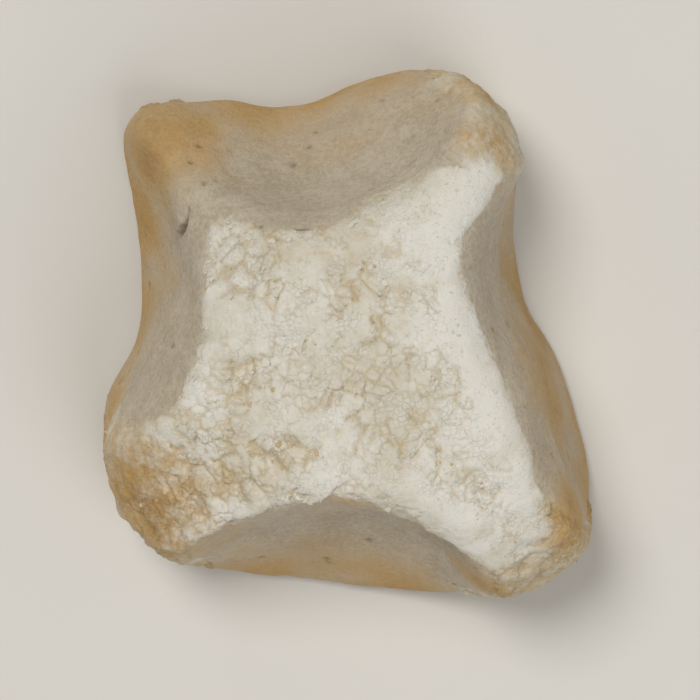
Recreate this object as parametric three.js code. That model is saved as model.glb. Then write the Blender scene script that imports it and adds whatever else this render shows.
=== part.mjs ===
// A soft almond biscuit of the amaretto kind, in millimetres, with +Z up.
//
// The baker rolls a lump of almond dough in icing sugar, sets it down and presses it between the
// fingers from four sides. It bakes into a low pillow: a flat base, four smooth finger hollows,
// four ridges that run out between them to rounded corner lobes, and a rough crown of sugar crust
// that has cracked into plates. The origin is on the flat base, at the middle of the biscuit.
// The front of the biscuit is towards -Y, where its widest hollow is.
import * as THREE from "three";
import { mergeVertices } from "three/addons/utils/BufferGeometryUtils.js";

// Driving dimensions
const WIDTH = 45.5; // left to right, X
const DEPTH = 49.5; // front to back, Y
const HEIGHT = 23.5; // flat base to the top of the crown, Z

// The lump of dough before it is pressed
const BELLY_HEIGHT = 4.5; // where the lump is widest
const CROWN_FULLNESS = 2.7; // exponent of the side profile: 2 is an ellipse
const UNDERSIDE_DROP = 13; // how far below the belly the lump would close if it weren't on a tray
const BASE_ROUNDING = 2; // where the side turns under to the flat base

// The foot's outline seen from above: how far it reaches from the middle at each azimuth, in
// degrees anticlockwise from +X. It swells at the four lobes and is drawn in where it was pressed.
const FOOT = [
  { azimuth: 9.5, reach: 17.9 }, // right side, under the index finger
  { azimuth: 32, reach: 18.8 },
  { azimuth: 49, reach: 23.6 },
  { azimuth: 66, reach: 26.3 }, // back right lobe
  { azimuth: 84, reach: 25 },
  { azimuth: 104, reach: 22.4 }, // back
  { azimuth: 121, reach: 25 },
  { azimuth: 134, reach: 28 }, // back left lobe
  { azimuth: 148, reach: 25.4 },
  { azimuth: 163, reach: 22 },
  { azimuth: 181, reach: 20.2 }, // left side
  { azimuth: 198, reach: 23.6 },
  { azimuth: 222, reach: 26.2 }, // front left lobe
  { azimuth: 256, reach: 24.4 }, // front
  { azimuth: 279, reach: 25 },
  { azimuth: 294, reach: 26.7 },
  { azimuth: 314.5, reach: 28.6 }, // front right lobe
  { azimuth: 336, reach: 26 },
  { azimuth: 354, reach: 21 },
];

// How far the crown rises or falls towards each lobe.
const LOBES = [
  { name: "back_right", azimuth: 60, rise: 1 },
  { name: "back_left", azimuth: 136, rise: -6 },
  { name: "front_left", azimuth: 222, rise: -1.6 },
  { name: "front_right", azimuth: 316, rise: 0.6 },
];
const LOBE_SPREAD = 24; // degrees
const SHOULDER_FROM = 8; // distance from the middle where a lobe's rise begins
const SHOULDER_TO = 20; // and where it is complete

// The finger presses. x and y place the hollow's deepest point on the rim of the crown, facing is
// the azimuth that it opens towards, and radius is the finger's. The fingertip's centre stops at
// tip above the base, and lean is how far the finger slopes outwards for each millimetre down.
const RIM_HEIGHT = 21; // height at which the presses are placed
const PRESSES = [
  { name: "right_index", x: 10.4, y: 8.8, facing: 2, radius: 9.5, tip: 11, lean: 0.3 },
  { name: "right_middle", x: 15.8, y: -5.5, facing: 13, radius: 24, tip: 15, lean: 0.3 },
  { name: "front_thumb", x: -2, y: -12.6, facing: 268, radius: 18, tip: 20.5, lean: 0.42 },
  { name: "left_thumb", x: -13.2, y: 6, facing: 174, radius: 17.5, tip: 13, lean: 0.32 },
  { name: "back_middle", x: -3.8, y: 12.4, facing: 95.5, radius: 16.8, tip: 18.5, lean: 0.42 },
];
const EDGE_ROUNDING = 2; // blends a hollow into the crown and ridges
const FOOT_ROUNDING = 7; // and into the foot of the biscuit, where the dough spread again
const FOOT_HEIGHT = 3;
const FINGERS_BLEND = 6.5; // rounds the ridge or crest that is left between two fingers
const WOBBLE_SIZE = 8; // unevenness of the hollows themselves
const WOBBLE_DEPTH = 0.7;
const LIP_HEIGHT = 0.7; // dough pushed up along a hollow's edge
const LIP_REACH = 2.6; // how far in from the edge the lip stands
const SEAM = { x: -1.4, fromY: -14, toY: 0, width: 1.5, depth: 0.55 }; // crease up the crown
const SEAM_FADE = 4; // over which the crease's ends run out

// Surface relief
const SWELL_SIZE = 12; // soft unevenness of hand-shaped dough
const SWELL_DEPTH = 0.75;
const PLATE_SIZE = 4.2; // plates of the cracked sugar crust
const PLATE_STEP = 0.3; // how much neighbouring plates differ in height
const CRACK_WIDTH = 1.1;
const CRACK_DEPTH = 0.4;
const CRUMB_SIZE = 1.9; // fine roughness of the crust
const CRUMB_DEPTH = 0.22;
const SMOOTH_WITHIN = 0.4; // a hollow's own surface is smooth up to this far from the finger
const ROUGH_BEYOND = 2.4; // and the crust is fully rough this far from it
const TRAY_FADE = 5; // height above the tray over which the relief sets in

// Mesh
const MESH_DETAIL = 20; // subdivision of the icosahedron that is drawn out to the surface
const CENTRE_HEIGHT = 7; // the point that the lump is drawn out from
const BASE_THRIFT = 0.42; // crowds vertices towards the sides, away from the flat base
const REACH_LIMIT = 60; // further out than any part of the lump
const HALVINGS = 24;
const PRESS_STEPS = 10;
const EVENING_ROUNDS = 7; // times that the vertices are spread evenly over the pressed surface
const PROBE = 0.02; // spacing of the samples that give the surface's slope
const FLAT_WITHIN = 0.02; // a vertex this close to the base plane lies on it

// Colour of the sugar crust, seen as a whole
const SUGAR_COLOUR = 0xe0d9c6;

const { degToRad, radToDeg, euclideanModulo, smoothstep, lerp } = THREE.MathUtils;

// A repeatable number from 0 to 1 for one corner of a lattice.
function hash(i, j, k, salt) {
  let h = Math.imul(i, 374761393) ^ Math.imul(j, 668265263);
  h ^= Math.imul(k, 1440662683) ^ Math.imul(salt, 974634777);
  h = Math.imul(h ^ (h >>> 13), 1274126177);
  return ((h ^ (h >>> 16)) >>> 0) / 4294967296;
}

// Smooth noise from -1 to 1, with lumps about size millimetres across.
function noise(p, size, salt) {
  const [x, y, z] = [p.x / size, p.y / size, p.z / size];
  const [i, j, k] = [Math.floor(x), Math.floor(y), Math.floor(z)];
  const ease = (t) => t * t * (3 - 2 * t);
  const [u, v, w] = [ease(x - i), ease(y - j), ease(z - k)];
  const edge = (b, c) => lerp(hash(i, j + b, k + c, salt), hash(i + 1, j + b, k + c, salt), u);
  return 2 * lerp(lerp(edge(0, 0), edge(1, 0), v), lerp(edge(0, 1), edge(1, 1), v), w) - 1;
}

// The crust's plates: how high the nearest plate stands, -1 to 1, and the distance in millimetres
// to the crack between it and its neighbour.
function plateAt(p) {
  const [x, y, z] = [p.x / PLATE_SIZE, p.y / PLATE_SIZE, p.z / PLATE_SIZE];
  const [i, j, k] = [Math.floor(x), Math.floor(y), Math.floor(z)];
  let nearest = Infinity;
  let second = Infinity;
  let level = 0;
  for (let a = i - 1; a <= i + 1; a++)
    for (let b = j - 1; b <= j + 1; b++)
      for (let c = k - 1; c <= k + 1; c++) {
        const away = Math.hypot(a + hash(a, b, c, 1) - x, b + hash(a, b, c, 2) - y, c + hash(a, b, c, 3) - z);
        if (away < nearest) {
          second = nearest;
          nearest = away;
          level = 2 * hash(a, b, c, 4) - 1;
        } else if (away < second) second = away;
      }
  return { level, toCrack: ((second - nearest) * PLATE_SIZE) / 2 };
}

// A smooth closed curve through the foot's outline, as reach by azimuth. The points are repeated a
// turn before and a turn after, so that it closes on itself.
function footCurve() {
  const azimuths = [-360, 0, 360].flatMap((turn) => FOOT.map((point) => point.azimuth + turn));
  const reaches = azimuths.map((_, i) => FOOT[i % FOOT.length].reach);
  return new THREE.CubicInterpolant(azimuths, reaches, 1, [0]);
}
const foot = footCurve();

// How far the crown rises at an azimuth, strongest at the lobes themselves.
function riseAt(azimuth) {
  let rise = 0;
  for (const lobe of LOBES) {
    const turn = euclideanModulo(azimuth - lobe.azimuth + 180, 360) - 180;
    rise += lobe.rise * Math.exp(-((turn / LOBE_SPREAD) ** 2));
  }
  return rise;
}

// The larger of a and b, blended over a width of k where they are close.
function smoothMax(a, b, k) {
  const h = Math.max(k - Math.abs(a - b), 0) / k;
  return Math.max(a, b) + (h * h * k) / 4;
}

// Distance in millimetres from the surface of the unpressed lump, negative inside it.
function lumpDistance(p) {
  const across = Math.hypot(p.x, p.y);
  const azimuth = radToDeg(Math.atan2(p.y, p.x));
  const outline = foot.evaluate(azimuth)[0];
  const shoulder = riseAt(azimuth) * smoothstep(across, SHOULDER_FROM, SHOULDER_TO);
  const up = p.z - BELLY_HEIGHT;
  const closesAt = up > 0 ? HEIGHT - BELLY_HEIGHT + shoulder : UNDERSIDE_DROP;
  const m = CROWN_FULLNESS;
  const fullness = ((across / outline) ** m + Math.abs(up / closesAt) ** m) ** (1 / m);
  const fromBelly = Math.hypot(across, up);
  return fromBelly - fromBelly / Math.max(fullness, 1e-9);
}

// Distance in millimetres from the nearest finger, negative where a finger has been.
function fingerDistance(p) {
  let nearest = Infinity;
  for (const press of PRESSES) {
    const along = Math.max(p.z, press.tip); // the finger is a rod that ends in a ball at its tip
    const set = press.radius + press.lean * (RIM_HEIGHT - along);
    const x = p.x - press.x - set * Math.cos(degToRad(press.facing));
    const y = p.y - press.y - set * Math.sin(degToRad(press.facing));
    const away = Math.hypot(x, y, p.z - along) - press.radius;
    nearest = -smoothMax(-nearest, -away, FINGERS_BLEND);
  }
  return nearest + WOBBLE_DEPTH * noise(p, WOBBLE_SIZE, 7);
}

// The lump where it stands on the tray, before the fingers: below zero inside it.
function lumpOnTray(p) {
  return smoothMax(lumpDistance(p), -p.z, BASE_ROUNDING);
}

// The pressed dough: below zero inside it, and near enough a distance in millimetres.
function pressedDough(p) {
  const finger = fingerDistance(p);
  const lip = LIP_HEIGHT * Math.exp(-(((finger - LIP_REACH / 2) / LIP_REACH) ** 2));
  const acrossSeam = Math.exp(-(((p.x - SEAM.x) / SEAM.width) ** 2));
  const alongSeam =
    smoothstep(p.y, SEAM.fromY, SEAM.fromY + SEAM_FADE) - smoothstep(p.y, SEAM.toY - SEAM_FADE, SEAM.toY);
  let dough = lumpDistance(p) - lip + SEAM.depth * acrossSeam * alongSeam;
  dough -= SWELL_DEPTH * noise(p, SWELL_SIZE, 5);
  const rounding = lerp(FOOT_ROUNDING, EDGE_ROUNDING, smoothstep(p.z, FOOT_HEIGHT, RIM_HEIGHT));
  dough = smoothMax(dough, -finger, rounding);
  return smoothMax(dough, -p.z, BASE_ROUNDING);
}

// How far the sugar crust stands above the pressed dough: plates, cracks and fine crumb on the
// crown, ridges and lobes, and next to nothing in the hollows or on the base.
function crustRelief(p) {
  const finger = fingerDistance(p);
  const rough = smoothstep(finger, SMOOTH_WITHIN, ROUGH_BEYOND) * smoothstep(p.z, 0, TRAY_FADE);
  const plate = plateAt(p);
  const crack = 1 - smoothstep(plate.toCrack, 0, CRACK_WIDTH);
  const relief = PLATE_STEP * plate.level - CRACK_DEPTH * crack + CRUMB_DEPTH * noise(p, CRUMB_SIZE, 6);
  return rough * relief;
}

// The slope of a field at a point, as a vector.
function slopeOf(field, p, slope) {
  for (const axis of ["x", "y", "z"]) {
    const at = p[axis];
    p[axis] = at + PROBE;
    const ahead = field(p);
    p[axis] = at - PROBE;
    slope[axis] = (ahead - field(p)) / (2 * PROBE);
    p[axis] = at;
  }
  return slope;
}

// The point where a ray from the centre leaves the unpressed lump.
function drawnOut(centre, direction) {
  const point = new THREE.Vector3();
  let inside = 0;
  let outside = REACH_LIMIT;
  for (let i = 0; i < HALVINGS; i++) {
    const middle = (inside + outside) / 2;
    point.copy(centre).addScaledVector(direction, middle);
    if (lumpOnTray(point) < 0) inside = middle;
    else outside = middle;
  }
  return point;
}

// Moves a point of the lump to the pressed surface, the way that the fingers push the dough.
function press(point) {
  const slope = new THREE.Vector3();
  for (let i = 0; i < PRESS_STEPS; i++) {
    slopeOf(pressedDough, point, slope);
    point.addScaledVector(slope, -pressedDough(point) / Math.max(slope.lengthSq(), 0.1));
  }
  return point;
}

// The indices of the vertices that share an edge with each vertex.
function neighboursOf(geometry) {
  const neighbours = Array.from({ length: geometry.getAttribute("position").count }, () => new Set());
  const corners = geometry.index.array;
  for (let i = 0; i < corners.length; i += 3)
    for (let side = 0; side < 3; side++) {
      const [a, b] = [corners[i + side], corners[i + ((side + 1) % 3)]];
      neighbours[a].add(b);
      neighbours[b].add(a);
    }
  return neighbours;
}

// Moves each point to the middle of its neighbours, and back onto the pressed surface.
function evenOut(points, neighbours) {
  return points.map((point, i) => {
    const middle = new THREE.Vector3();
    for (const j of neighbours[i]) middle.add(points[j]);
    return press(middle.divideScalar(neighbours[i].size));
  });
}

// An icosahedron drawn out to the lump, pressed, crusted, and fitted to the driving dimensions.
function biscuitGeometry() {
  const ball = new THREE.IcosahedronGeometry(1, MESH_DETAIL);
  ball.deleteAttribute("normal");
  ball.deleteAttribute("uv");
  const geometry = mergeVertices(ball, 1e-5);
  const position = geometry.getAttribute("position");
  const centre = new THREE.Vector3(0, 0, CENTRE_HEIGHT);
  let points = [];
  for (let i = 0; i < position.count; i++) {
    const direction = new THREE.Vector3().fromBufferAttribute(position, i);
    if (direction.z < 0) direction.z *= BASE_THRIFT;
    points.push(press(drawnOut(centre, direction.normalize())));
  }
  const neighbours = neighboursOf(geometry);
  for (let round = 0; round < EVENING_ROUNDS; round++) points = evenOut(points, neighbours);

  const outwards = new THREE.Vector3();
  points.forEach((point, i) => {
    slopeOf(pressedDough, point, outwards).normalize();
    point.addScaledVector(outwards, crustRelief(point));
    position.setXYZ(i, point.x, point.y, point.z < FLAT_WITHIN ? 0 : point.z);
  });
  geometry.computeBoundingBox();
  const { min, max } = geometry.boundingBox;
  geometry.translate(-(min.x + max.x) / 2, -(min.y + max.y) / 2, -min.z);
  geometry.scale(WIDTH / (max.x - min.x), DEPTH / (max.y - min.y), HEIGHT / (max.z - min.z));
  geometry.computeVertexNormals();
  return geometry;
}

function sugarCrust() {
  return new THREE.MeshStandardMaterial({ color: SUGAR_COLOUR, roughness: 0.95, metalness: 0 });
}

const biscuit = new THREE.Mesh(biscuitGeometry(), sugarCrust());
biscuit.name = "biscuit";

const amaretto = new THREE.Group();
amaretto.add(biscuit);

export default amaretto;
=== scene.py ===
"""A soft almond biscuit of the amaretto kind, rolled in icing sugar and pinched between the fingers.

The form is worked out as a field in millimetres, negative inside the dough: a lump with a flat base,
with finger hollows taken out of it. A fine mesh is drawn onto that field, and its sugar crust, the
cracks in it and the pores of the hollows are real relief. Loose sugar, flakes and crumbs are
pieces of their own, seated on that surface.
"""
import math

import bmesh
import bpy
import numpy as np
from mathutils import Matrix, Vector


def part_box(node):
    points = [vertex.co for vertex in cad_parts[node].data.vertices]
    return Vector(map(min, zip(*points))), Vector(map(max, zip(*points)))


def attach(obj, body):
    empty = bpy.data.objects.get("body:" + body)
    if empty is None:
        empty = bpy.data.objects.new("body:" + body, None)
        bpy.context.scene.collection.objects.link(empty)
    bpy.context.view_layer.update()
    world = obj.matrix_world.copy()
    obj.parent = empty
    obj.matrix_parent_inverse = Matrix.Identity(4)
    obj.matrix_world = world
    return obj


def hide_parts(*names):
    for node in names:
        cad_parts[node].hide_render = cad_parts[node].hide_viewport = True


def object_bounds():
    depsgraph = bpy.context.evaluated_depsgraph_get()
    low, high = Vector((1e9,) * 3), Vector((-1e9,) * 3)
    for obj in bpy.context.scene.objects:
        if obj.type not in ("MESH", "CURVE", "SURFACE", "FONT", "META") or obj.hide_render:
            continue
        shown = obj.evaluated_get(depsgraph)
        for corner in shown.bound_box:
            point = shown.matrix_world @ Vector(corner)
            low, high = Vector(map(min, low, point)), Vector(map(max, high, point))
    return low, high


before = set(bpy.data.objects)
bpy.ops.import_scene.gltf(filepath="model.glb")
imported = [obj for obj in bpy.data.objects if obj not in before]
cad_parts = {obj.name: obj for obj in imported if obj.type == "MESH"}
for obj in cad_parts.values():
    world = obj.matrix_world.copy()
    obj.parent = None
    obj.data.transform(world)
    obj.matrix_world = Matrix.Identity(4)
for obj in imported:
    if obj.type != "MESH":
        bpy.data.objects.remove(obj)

bl_info = {
    "name": "Pinched Almond Biscuit",
    "version": (1, 0, 0),
    "blender": (4, 5, 0),
    "location": "3D View > Sidebar > Biscuit",
    "description": "Builds a sugared soft almond biscuit and a pale table to show it on",
    "category": "Add Mesh",
}

CAD_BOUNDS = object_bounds()
NODE = "biscuit"
BODY = "root"
MM = 0.001

# The lump of dough before it is pressed, in millimetres
BELLY_HEIGHT = 4.5
CROWN_HEIGHT = 23.5
CROWN_FULLNESS = 2.7
UNDERSIDE_DROP = 13
BASE_ROUNDING = 2
CENTRE_HEIGHT = 7

# The foot's outline seen from above: azimuth in degrees, and reach from the middle
FOOT = (
    (9.5, 17.9), (32, 18.8), (49, 23.6), (66, 26.3), (84, 25), (104, 22.4), (121, 25),
    (134, 28), (148, 25.4), (163, 22), (181, 20.2), (198, 23.6), (222, 26.2), (256, 24.4),
    (279, 25), (294, 26.7), (314.5, 28.6), (336, 26), (354, 21),
)
FOOT_STEPS = 1440

# How far the crown rises or falls towards each lobe: azimuth and rise
LOBES = ((60, 1), (136, -6), (222, -1.6), (316, 0.6))
LOBE_SPREAD = 24
SHOULDER_FROM, SHOULDER_TO = 8, 20

# The finger presses: x, y, facing, radius, tip, lean
RIM_HEIGHT = 21
PRESSES = {
    "right_index": (10.4, 8.8, 2, 9.5, 11, 0.3),
    "right_middle": (15.8, -5.5, 13, 24, 15, 0.3),
    "front_thumb": (-2, -12.6, 268, 18, 20.5, 0.42),
    "left_thumb": (-13.2, 6, 174, 17.5, 13, 0.32),
    "back_middle": (-3.8, 12.4, 95.5, 16.8, 18.5, 0.42),
}
EDGE_ROUNDING, FOOT_ROUNDING, FOOT_HEIGHT = 2, 7, 3
FINGERS_BLEND = 6.5
WOBBLE_SIZE, WOBBLE_DEPTH = 8, 0.7
LIP_HEIGHT, LIP_REACH = 0.7, 2.6
SEAM_X, SEAM_FROM, SEAM_TO, SEAM_WIDTH, SEAM_DEPTH, SEAM_FADE = -1.4, -14, 0, 1.5, 0.55, 4
SWELL_SIZE, SWELL_DEPTH = 12, 0.75

# The mesh. A split costs this many triangles, with the halves of its neighbours
START_SPLITS = 22
BASE_THRIFT = 0.42
REACH_LIMIT = 60
HALVINGS = 24
PROBE = 0.02
TRIANGLE_LIMIT = 196000
SPLIT_COST = 5.2
PORE_WORTH, GAP_WORTH = 1.5, 3.1
BASE_SKIN = 0.05

# The pores of the hollows and the pinholes of the crust: spacing, radius and the share left out
PORES = (1.8, 0.24, 0.45)
PINHOLES = (1.25, 0.16, 0.65)
PORE_DEPTH, PINHOLE_DEPTH = 0.28, 0.06

# The crust's relief in millimetres: how high its plates swell and how soon, how far they step
# and tilt, and the lumps and grains on them as size across and height
WIDE_SWELL, WIDE_SWELL_REACH = 0.08, 0.4
SMALL_SWELL, SMALL_SWELL_REACH = 0.07, 0.2
WIDE_STEP, SMALL_STEP = 0.18, 0.13
WIDE_TILT, SMALL_TILT, TILT_TURNS = 0.6, 0.9, 7
LUMP_SIZE, LUMP_HEIGHT = 1.4, 0.24
COARSE_GRAIN_SIZE, COARSE_GRAIN_HEIGHT = 0.62, 0.06
FINE_GRAIN_SIZE, FINE_GRAIN_HEIGHT = 0.33, 0.045
CRUST_SETTLING = 0.16
FRAYED_LIFT = 0.22
VEIN_SPACING = 3.4

# What the dough's vertices hold for its material, and the number of sides of a flake
MASKS = ("edge", "crackle", "toast", "sugar", "wide", "small", "pore")
FLAKE_SIDES = 7

# The stage: lengths in metres, but the sensor's width in millimetres, and where each light is from
TABLE_RADIUS, TABLE_SIDES, TABLE_GAP = 2.4, 96, 0.00002
KEY_FROM, KEY_SPREAD, KEY_COLOUR = (-0.2, 0.3, 0.57), math.radians(24), (1.0, 0.975, 0.935)
FILL_FROM, FILL_SPREAD, FILL_COLOUR = (0.3, -0.36, 0.5), math.radians(45), (1.0, 0.985, 0.96)
ROOM_COLOUR = (0.98, 0.97, 0.95)
SENSOR_WIDTH = 36
CAMERA_NEAR, CAMERA_FAR = 0.01, 10
CAMERA_LEFT = 0.03

# Toasted places: x, y, z, radius and strength, each where a lobe or rim caught the oven's heat
TOASTED = (
    (10.2, 20.1, 18.9, 1.7, 0.7),
    (12.8, 20, 17.5, 4.5, 0.64),
    (12, 25, 11, 7, 0.5),
    (-18, -13.8, 15.5, 7.5, 0.9),
    (-16.5, -8.3, 18.5, 4, 0.58),
    (20, -15.2, 17, 5.5, 0.76),
    (21.5, -17, 8, 8, 0.8),
    (17, -3, 9, 10, 0.72),
    (-2, 10.5, 21.5, 4, 0.22),
    (-17.5, 18.8, 7, 8, 0.86),
    (-12, -11.5, 20, 5, 0.38),
    (-18, 4, 9, 7, 0.28),
    (12.3, -11.1, 22.3, 1.3, 0.5),
    (12, -20.3, 15.5, 4, 0.75),
    (9, -15.5, 20, 5, 0.45),
    (-1, -11, 21.5, 4, 0.45),
)

# The crown's edge seen from above, where the thick sugar ends: x and y
CROWN_EDGE = (
    (-12.5, 12.1), (-2.9, 12.4), (1.5, 14.9), (5, 16.8), (8.5, 18.1), (12.3, 17.4), (12.6, 15.8),
    (11.8, 14), (9.6, 11.8), (9.4, 8.8), (12.7, 0.3), (16, -8.3), (17, -17.6), (11.9, -18.1),
    (6.7, -15.2), (1.2, -12), (-2.2, -11.4), (-6.3, -12.3), (-11.5, -14.9), (-17, -17.8),
    (-20, -13.3), (-16.6, -5.4), (-13.5, 2.5), (-13.2, 8.8),
)

# Where the crust is most cracked and where it is calm, where the sugar lies thickest and where a
# highlight is painted on as whiter sugar, where it fades out towards the crown's edge, and where flakes
# of it have come up: x, y, radius and strength
CRACKLED = (
    (-12.5, -9.5, 6.5, 0.9),
    (-12, -0.4, 4, 0.35),
    (-9.5, 9, 4, 0.45),
    (-1, 7.5, 4.5, 0.4),
    (4.5, 12, 3.5, 0.45),
    (3.5, -4.5, 4.5, 0.3),
    (12, -11.2, 1.4, 0.5),
    (-6, -7.4, 5, 0.5),
)
CALM = (
    (11.5, 20.5, 5, 0.75),
    (8, 17, 4, 0.7),
    (-1.5, -6.5, 1.8, 0.6),
    (-21, -9, 4, 0.5),
)
# Partly thick sugar, partly a painted highlight: the right ridge and the small tip in front are made
# whiter where light catches them
THICK_SUGAR_AND_HIGHLIGHTS = (
    (-6.5, 2.2, 4.5, 0.3),
    (9.3, 4, 3.4, 1),
    (11.5, -4.5, 3.6, 1),
    (13.6, -11, 3.4, 0.9),
    (9, 12, 3.5, 1),
    (11.2, 16.4, 2.6, 0.9),
    (9.5, -12.5, 3, 0.5),
    (-1.5, -4, 1.5, 0.5),
    (-1.8, -9.7, 1.2, 0.6),
    (-13, -3, 1.6, 0.9),
)
FADED = (
    (5.4, 15.6, 4.2, 0.84),
    (12.5, 20.5, 4.5, 0.6),
    (-18.5, -10, 5, 0.5),
)
FLAKY = (
    (-3, -11.5, 3.2, 1),
    (-4, 12, 7, 0.55),
    (-13.5, -5, 5, 0.4),
)

# Short gaps torn in the dough by the crown's edge: both ends, half width, depth and lowest height
GAPS = (
    (-15.7, 9.6, -14.5, 13.3, 0.26, 0.6, 11.2),
    (-5.3, 12.35, -3.3, 12.65, 0.14, 0.2, 18),
)


# ---------------------------------------------------------------- numbers and noise


def ease(value, low, high):
    """0 below low, 1 above high, and a smooth step between."""
    t = np.clip((value - low) / (high - low), 0, 1)
    return t * t * (3 - 2 * t)


def smooth_max(a, b, width):
    """The larger of a and b, blended where they are closer than width."""
    near = np.maximum(width - np.abs(a - b), 0) / width
    return np.maximum(a, b) + near * near * width / 4


def lattice_draw(i, j, k, salt):
    """A repeatable number from 0 to 1 for each corner of a lattice."""
    i, j, k = (axis.astype(np.int64).astype(np.uint32) for axis in (i, j, k))
    mixed = (i * np.uint32(374761393)) ^ (j * np.uint32(668265263))
    mixed ^= (k * np.uint32(1440662683)) ^ np.uint32((salt * 974634777) & 0xFFFFFFFF)
    mixed = (mixed ^ (mixed >> np.uint32(13))) * np.uint32(1274126177)
    return (mixed ^ (mixed >> np.uint32(16))).astype(float) / 4294967296.0


def noise(points, size, salt):
    """Smooth noise from -1 to 1, with lumps about size millimetres across."""
    scaled = points / size
    corner = np.floor(scaled)
    share = scaled - corner
    u, v, w = (share * share * (3 - 2 * share)).T
    i, j, k = corner.T

    def edge(b, c):
        low = lattice_draw(i, j + b, k + c, salt)
        return low + (lattice_draw(i + 1, j + b, k + c, salt) - low) * u

    near = edge(0, 0) * (1 - v) + edge(1, 0) * v
    far = edge(0, 1) * (1 - v) + edge(1, 1) * v
    return 2 * (near * (1 - w) + far * w) - 1


def warped(points, size, reach, salt):
    """The points, shaken by noise, so that what is drawn on them loses its straight lines."""
    shake = np.stack([noise(points, size, salt + axis) for axis in range(3)], axis=1)
    return points + reach * shake


def cells(points, size, salt):
    """The nearest scattered cell: how far its middle and its border are, its draw and its tilt."""
    scaled = points / size
    corner = np.floor(scaled)
    nearest = np.full(len(points), np.inf)
    second = np.full(len(points), np.inf)
    draw = np.zeros(len(points))
    offset = np.zeros_like(points)
    for step in np.ndindex(3, 3, 3):
        near = corner + np.array(step) - 1
        i, j, k = near.T
        middle = near + np.stack([lattice_draw(i, j, k, salt + axis) for axis in range(3)], axis=1)
        away = np.linalg.norm(middle - scaled, axis=1)
        closer = away < nearest
        second = np.where(closer, nearest, np.minimum(second, away))
        nearest = np.where(closer, away, nearest)
        draw = np.where(closer, lattice_draw(i, j, k, salt + 3), draw)
        offset = np.where(closer[:, None], scaled - middle, offset)
    turn = draw * 2 * math.pi * TILT_TURNS
    lean = (offset[:, 0] * np.cos(turn) + offset[:, 1] * np.sin(turn)) * size
    return nearest * size, (second - nearest) * size / 2, draw, lean


# ---------------------------------------------------------------- the dough's field


def foot_table():
    """Reach of the foot at even steps of azimuth, a smooth closed curve through FOOT."""
    azimuths = np.array([turn + point[0] for turn in (-360, 0, 360) for point in FOOT], float)
    reaches = np.array([point[1] for _ in range(3) for point in FOOT], float)
    slopes = np.zeros_like(reaches)
    slopes[1:-1] = (reaches[2:] - reaches[:-2]) / (azimuths[2:] - azimuths[:-2])
    asked = np.arange(FOOT_STEPS) * 360 / FOOT_STEPS
    at = np.searchsorted(azimuths, asked, side="right") - 1
    span = azimuths[at + 1] - azimuths[at]
    t = (asked - azimuths[at]) / span
    return (
        (2 * t**3 - 3 * t**2 + 1) * reaches[at]
        + (t**3 - 2 * t**2 + t) * slopes[at] * span
        + (3 * t**2 - 2 * t**3) * reaches[at + 1]
        + (t**3 - t**2) * slopes[at + 1] * span
    )


FOOT_REACH = foot_table()


def foot_reach(azimuth):
    """How far the foot reaches from the middle, at azimuths in degrees."""
    place = np.mod(azimuth, 360) * FOOT_STEPS / 360
    low = np.floor(place).astype(int) % FOOT_STEPS
    share = place - np.floor(place)
    return FOOT_REACH[low] * (1 - share) + FOOT_REACH[(low + 1) % FOOT_STEPS] * share


def lump_distance(points):
    """Distance from the surface of the unpressed lump, negative inside it."""
    x, y, z = points.T
    across = np.hypot(x, y)
    azimuth = np.degrees(np.arctan2(y, x))
    rise = np.zeros(len(points))
    for lobe_azimuth, lobe_rise in LOBES:
        turn = np.mod(azimuth - lobe_azimuth + 180, 360) - 180
        rise += lobe_rise * np.exp(-((turn / LOBE_SPREAD) ** 2))
    rise *= ease(across, SHOULDER_FROM, SHOULDER_TO)
    up = z - BELLY_HEIGHT
    closes_at = np.where(up > 0, CROWN_HEIGHT - BELLY_HEIGHT + rise, UNDERSIDE_DROP)
    power = CROWN_FULLNESS
    fullness = ((across / foot_reach(azimuth)) ** power + np.abs(up / closes_at) ** power) ** (1 / power)
    from_belly = np.hypot(across, up)
    return from_belly - from_belly / np.maximum(fullness, 1e-9)


def finger_distance(points):
    """Distance from the nearest finger, negative where a finger has been."""
    x, y, z = points.T
    nearest = None
    for press_x, press_y, facing, radius, tip, lean in PRESSES.values():
        along = np.maximum(z, tip)
        set_back = radius + lean * (RIM_HEIGHT - along)
        to_x = x - press_x - set_back * math.cos(math.radians(facing))
        to_y = y - press_y - set_back * math.sin(math.radians(facing))
        away = np.sqrt(to_x**2 + to_y**2 + (z - along) ** 2) - radius
        nearest = away if nearest is None else -smooth_max(-nearest, -away, FINGERS_BLEND)
    return nearest + WOBBLE_DEPTH * noise(points, WOBBLE_SIZE, 7)


def flat_based_lump(points):
    return smooth_max(lump_distance(points), -points[:, 2], BASE_ROUNDING)


def pressed_dough(points):
    """The pressed dough: below zero inside it, and near enough a distance."""
    finger = finger_distance(points)
    lip = LIP_HEIGHT * np.exp(-(((finger - LIP_REACH / 2) / LIP_REACH) ** 2))
    x, y, z = points.T
    across_seam = np.exp(-(((x - SEAM_X) / SEAM_WIDTH) ** 2))
    along_seam = ease(y, SEAM_FROM, SEAM_FROM + SEAM_FADE) - ease(y, SEAM_TO - SEAM_FADE, SEAM_TO)
    dough = lump_distance(points) - lip + SEAM_DEPTH * across_seam * along_seam
    dough -= SWELL_DEPTH * noise(points, SWELL_SIZE, 5)
    rounding = FOOT_ROUNDING + (EDGE_ROUNDING - FOOT_ROUNDING) * ease(z, FOOT_HEIGHT, RIM_HEIGHT)
    return smooth_max(smooth_max(dough, -finger, rounding), -z, BASE_ROUNDING)


def slope_of(field, points):
    """The slope of a field at each point, as vectors."""
    slope = np.empty_like(points)
    for axis in range(3):
        step = np.zeros(3)
        step[axis] = PROBE
        slope[:, axis] = (field(points + step) - field(points - step)) / (2 * PROBE)
    return slope


# ---------------------------------------------------------------- drawing a mesh onto the field


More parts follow.
